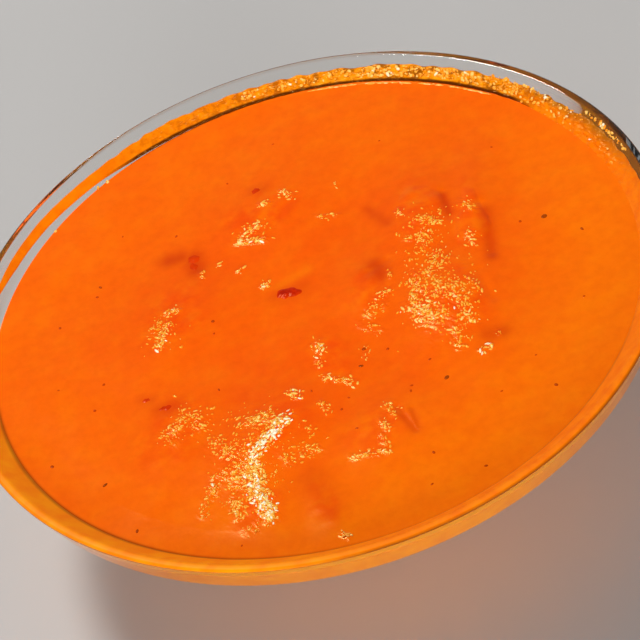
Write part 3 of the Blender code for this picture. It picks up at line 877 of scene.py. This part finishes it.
def domes(name, centre, normal, heading, length, width, height):
    """Closed domes on a surface: rings of eight points that shrink upwards to one point, and a
    point below. Each dome is scaled along its heading, across it and along its normal."""
    ring = 2.0 * np.pi * np.arange(DOME_SIDES) / DOME_SIDES
    plan = polar_points(DOME_REACH[:, None], ring, DOME_LIFT[:, None]).reshape(-1, 3)
    plan = np.vstack([[0.0, 0.0, -0.6], plan, [0.0, 0.0, 1.0]])
    side = np.cross(normal, polar_points(1.0, heading, 0.0))
    side /= np.linalg.norm(side, axis=1, keepdims=True)
    axes = np.stack([np.cross(side, normal), side, np.broadcast_to(normal, centre.shape)], axis=1)
    scaled = plan[None] * np.stack([length, width, height], axis=1)[:, None]
    points = centre[:, None] + np.einsum("nij,njk->nik", scaled, axes)
    here = 1 + np.arange(DOME_SIDES)
    after = 1 + np.arange(1, DOME_SIDES + 1) % DOME_SIDES
    wall = np.stack([here, after, after + DOME_SIDES, here + DOME_SIDES], axis=1)
    last = (len(DOME_REACH) - 1) * DOME_SIDES
    walls = np.vstack([wall + below for below in range(0, last, DOME_SIDES)])
    caps = np.vstack([np.stack([after, here, np.zeros(DOME_SIDES, int)], axis=1),
                      np.stack([here + last, after + last, np.full(DOME_SIDES, DOME_POINTS - 1)], axis=1)])
    first = np.arange(len(centre))[:, None, None] * DOME_POINTS
    return mesh_object(name, points.reshape(-1, 3) / 1000.0,
                       [(first + walls).reshape(-1, 4), (first + caps).reshape(-1, 3)])


# Drops on the wrinkles, dashes along the sauce's edge, and drops on the film, all where painted
# glints stand.
x, y, heading, strength = along_lines(WRINKLES, 1.5, 0.75)
skin_spots = on_skin(x, y, 0.03)
edge_arm = np.radians(draw.uniform(43.0, 78.0, 150))
edge_arm = edge_arm[(np.sin(edge_arm * 41.0) + np.sin(edge_arm * 67.0)) > -0.9]
edge_out = draw.normal(EDGE_RADIUS, 0.12, len(edge_arm))
edge_spots = polar_points(edge_out, edge_arm, CURRY_LEVEL + 0.22)
film_azimuth, film_down, film_heading, film_strength, stand_off = on_film(FILM_DROPS)
film_arm = np.radians(film_azimuth)
radius, height, lean, lift = on_path(film_down)
film_up = polar_points(lean, film_arm, lift)
film_spots = polar_points(radius, film_arm, height) + stand_off[:, None] * film_up
centre = np.vstack([skin_spots, edge_spots, film_spots])
normal = np.vstack([skin_normals(x, y), np.tile(UPWARDS, (len(edge_spots), 1)), film_up])
heading = np.concatenate([heading, edge_arm + np.pi / 2, film_arm + np.pi / 2 + film_heading])
strength = np.concatenate([strength, draw.uniform(0.7, 1.2, len(edge_spots)), film_strength])
length = np.clip(0.50 * np.exp(draw.normal(0.0, 0.42, len(centre))), 0.25, 1.1)
length *= np.clip(strength, 0.5, 1.3) ** 0.5
width = np.clip(length * draw.uniform(0.3, 0.7, len(centre)), 0.15, 0.40)
first_on_film = len(skin_spots) + len(edge_spots)
length[len(skin_spots):first_on_film] *= 1.4
width[len(skin_spots):first_on_film] = 0.17
length[first_on_film:] *= 0.8
width[first_on_film:] *= 1.15
butter = domes("butter_drops_painted_glints", centre, normal, heading, length, width, 0.10 + 0.25 * width)
# Painted highlight: how pale each drop is, paler where its streak is stronger.
glint_paleness = np.clip(draw.uniform(0.0, 0.85, len(centre)) * strength, 0.0, 1.0)
mark(butter, pale=np.repeat(glint_paleness, DOME_POINTS))

golden, shader = shader_of("golden_butter_painted_glints", {
    "Roughness": 0.2, "IOR": 1.46, "Specular Tint": (1.0, 0.80, 0.40, 1.0),
})
tree = golden.node_tree
# Painted highlight colours, from golden to near white.
color = ramp(tree, attribute(tree, "pale"), (0.10, (0.98, 0.32, 0.01)),
             (0.45, (0.99, 0.49, 0.06)), (0.80, (1.0, 0.68, 0.20)), (1.0, (1.0, 0.94, 0.70)))
tree.links.new(color, shader.inputs["Base Color"])
butter.data.materials.append(golden)
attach(butter, "root")

# ---------------------------------------------------------------------------------------------
# Spice and tomato. Dark specks of spice about a millimetre long lie in the skin, and dark red
# flakes of tomato, the largest seven millimetres long, stand a little out of it.

# Specks, in millimetres: x, y and length.
SPECKS = [
    (6.9, -28.0, 1.1), (27.6, -43.3, 1.2), (17.3, -43.9, 0.8), (9.2, -22.0, 0.9), (68.3, 5.3, 1.3),
    (76.6, -4.4, 1.0), (61.6, 6.5, 0.7), (54.1, -59.0, 0.9), (29.2, -79.2, 0.8), (14.3, -79.3, 0.7),
    (17.5, -68.7, 0.8), (50.4, -78.5, 0.7), (-81.0, -25.9, 0.9), (-65.8, -10.6, 0.7), (-68.4, -39.6, 1.2),
    (-63.4, -60.3, 1.0), (-61.5, -1.9, 0.7), (-55.1, 37.4, 0.9), (-56.7, 33.8, 0.7), (-27.7, 8.1, 0.8),
    (-31.7, -18.8, 0.8), (0.5, -51.2, 0.7), (-28.4, 3.3, 0.6), (-7.9, -31.5, 0.7), (-1.8, -41.9, 0.7),
    (1.0, -38.4, 0.6), (18.0, -41.9, 0.7), (15.3, -25.1, 0.7), (25.0, -34.6, 0.7), (-69.1, 26.4, 0.7),
    (-30.4, 47.6, 0.7), (52.0, -46.0, 0.5), (70.0, -30.0, 0.5), (-12.0, 62.0, 0.5), (33.0, 58.0, 0.5),
    (-45.0, 55.0, 0.5), (4.0, 72.0, 0.5), (62.0, 40.0, 0.5), (-74.0, 2.0, 0.5), (-38.0, -78.0, 0.5),
    (40.0, -55.0, 0.6),
]
# Flakes, in millimetres: centre x and y, length, width, turn in degrees, height, and how much sauce
# coats it, from 0 to 1.
FLAKES = [
    (-4.7, 9.4, 7.0, 4.2, -16.0, 0.3, 0.0), (-6.6, 9.9, 4.6, 4.9, 0.0, 0.3, 0.0),
    (-5.0, 54.5, 3.4, 3.0, 0.0, 0.12, 0.55), (-27.6, 35.8, 4.4, 4.6, 70.0, 0.14, 0.68),
    (-28.2, 32.8, 3.0, 4.2, 0.0, 0.12, 0.6),
    (-46.9, -19.3, 5.4, 3.6, -8.0, 0.12, 0.45), (-51.5, -13.6, 3.0, 2.4, 0.0, 0.1, 0.6),
]
# Sauce coats the small specks more than the large ones, and a flake towards its outline. Shares of
# a flake's outline at its rings: nine over its top, then one below and its lowest point.
FLAKE_SHARES = np.append(np.linspace(0.0, 1.0, 9), [0.7, 0.0])
FLAKE_AROUND = 36

x, y, length = np.array(SPECKS).T
half = 0.7 * length
speck_turn = draw.uniform(0.0, np.pi, len(SPECKS))
spice = domes("spice_specks", on_skin(x, y, 0.02), UPWARDS, speck_turn, half,
              half * draw.uniform(0.5, 0.9, len(SPECKS)), 0.06 + 0.08 * half)
mark(spice, coat=np.repeat(np.clip(1.15 - length, 0.0, 0.55), DOME_POINTS))


def flake(x, y, length, width, turn, height, seed):
    """Rings of an irregular flat-topped body: its outline is an ellipse with three random waves,
    its top the skin's height plus a rounded rise, and its underside closes below the skin."""
    share = FLAKE_SHARES[:, None]
    phi = 2.0 * np.pi * np.arange(FLAKE_AROUND) / FLAKE_AROUND
    shape = np.random.default_rng(seed)
    outline = 1.0 + sum(shape.uniform(0.02, 0.09) * np.sin(k * phi + shape.uniform(0.0, 6.3))
                        for k in (2, 3, 5))
    place_x, place_y = placed(share * outline * np.cos(phi) * length / 2,
                              share * outline * np.sin(phi) * width / 2, x, y, turn)
    rise = height * (1.0 - share**2.5) * (1.0 + 0.35 * waves(place_x, place_y, 1.6, seed)) - 0.1 * share
    rise[-2:] = -0.8
    return on_skin(place_x, place_y, rise) / 1000.0


tomato = closed_rings("tomato_flakes", *(flake(*row[:6], seed) for seed, row in enumerate(FLAKES, 400)))
from_middle = np.concatenate([[0.0], np.repeat(FLAKE_SHARES[1:-1], FLAKE_AROUND), [0.0]])
mark(tomato, coat=np.concatenate([np.maximum(row[-1], 0.85 * from_middle**4.0) for row in FLAKES]))
for name, dark, light, piece in (("dark_spice", (0.22, 0.036, 0.001), (0.48, 0.066, 0.001), spice),
                                 ("red_tomato", (0.40, 0.007, 0.0003), (0.62, 0.020, 0.0003), tomato)):
    crumb, shader = shader_of(name, {
        "Roughness": 0.2, "IOR": 1.2, "Specular Tint": (1.0, 0.4, 0.1, 1.0),
    })
    tree = crumb.node_tree
    place = node(tree, "ShaderNodeTexCoord").outputs["Object"]
    color = ramp(tree, noise(tree, place, 420.0), (0.35, dark), (0.65, light))
    color = mixed(tree, attribute(tree, "coat"), color, (0.80, 0.056, 0.0003))
    tree.links.new(color, shader.inputs["Base Color"])
    piece.data.materials.append(crumb)
    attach(piece, "root")

# ---------------------------------------------------------------------------------------------
# Plain pale floor, soft studio light and the camera. Two low lamps light the near wall of the glass
# and the key lamp stands behind the bowl, where the wrinkles of the sauce catch it.

FLOOR_REACH = 3.0
LIGHT_AIM = np.array([0.0, 0.0, 0.04])

floor_corners = FLOOR_REACH * np.array([(-1, -1, 0), (1, -1, 0), (1, 1, 0), (-1, 1, 0)])
floor = mesh_object("floor", floor_corners, [np.array([(0, 1, 2, 3)])])
paper, shader = shader_of("pale_floor", {"Base Color": (0.50, 0.495, 0.49, 1.0), "Roughness": 0.8})
floor.data.materials.append(paper)


def stand(name, data, axes, place):
    """Lamp or camera in the scene at a place, its three axes given as the rows of an array."""
    made = bpy.data.objects.new(name, data)
    matrix = np.eye(4)
    matrix[:3, :3] = axes.T
    matrix[:3, 3] = place
    made.matrix_world = Matrix(matrix.tolist())
    bpy.context.scene.collection.objects.link(made)
    return made


def area_light(name, azimuth, elevation, distance, size, power, color=(1.0, 1.0, 1.0)):
    """Square soft light at a direction in degrees and a distance from the bowl, aimed at it."""
    rise = np.radians(elevation)
    away = polar_points(np.cos(rise), np.radians(azimuth), np.sin(rise))
    lamp = bpy.data.lights.new(name, "AREA")
    lamp.shape = "SQUARE"
    lamp.size = size
    lamp.energy = power
    lamp.color = color
    side = np.cross(UPWARDS, away)
    side /= np.linalg.norm(side)
    stand(name, lamp, np.stack([side, np.cross(away, side), away]), away * distance + LIGHT_AIM)


area_light("key", 120.0, 58.0, 2.4, 0.60, 43.5, (1.0, 0.97, 0.93))
area_light("low_left", -112.5, 11.0, 1.9, 0.60, 18.0)
area_light("low_right", -67.5, 11.0, 1.9, 0.60, 18.0)
world = bpy.data.worlds.new("soft_room")
world.use_nodes = True
world.node_tree.nodes["Background"].inputs["Color"].default_value = (0.215, 0.215, 0.22, 1.0)
world.node_tree.nodes["Background"].inputs["Strength"].default_value = 1.0
bpy.context.scene.world = world
bpy.context.scene.view_settings.view_transform = "Standard"

# The camera stands in front of the bowl, rolled a little, and puts the middle of the rim at a
# place in a square picture.
PICTURE_PIXELS = 640.0
SENSOR_WIDTH = 36.0
CAMERA_ELEVATION = np.radians(42.5)
CAMERA_ROLL = np.radians(18.9)
CAMERA_DISTANCE = 1.160
FOCAL_PIXELS = 4228.0
RIM_CENTRE_PIXEL = np.array([310.0, 296.0])
back = np.array([0.0, -np.cos(CAMERA_ELEVATION), np.sin(CAMERA_ELEVATION)])
right = np.array([1.0, 0.0, 0.0])
up = np.cross(back, right)
c, s = np.cos(CAMERA_ROLL), np.sin(CAMERA_ROLL)
axes = np.array([[c, -s, 0.0], [s, c, 0.0], [0.0, 0.0, 1.0]]) @ np.stack([right, up, back])
aside = (RIM_CENTRE_PIXEL - PICTURE_PIXELS / 2) * [1.0, -1.0] / FOCAL_PIXELS
offset = np.append(aside, -1.0) * CAMERA_DISTANCE
lens = bpy.data.cameras.new("photo_camera")
lens.sensor_width = SENSOR_WIDTH
lens.lens = FOCAL_PIXELS / PICTURE_PIXELS * SENSOR_WIDTH
lens.clip_start = 0.05
camera = stand("photo_camera", lens, axes, BOWL_HEIGHT * UPWARDS - axes.T @ offset)
bpy.context.scene.camera = camera
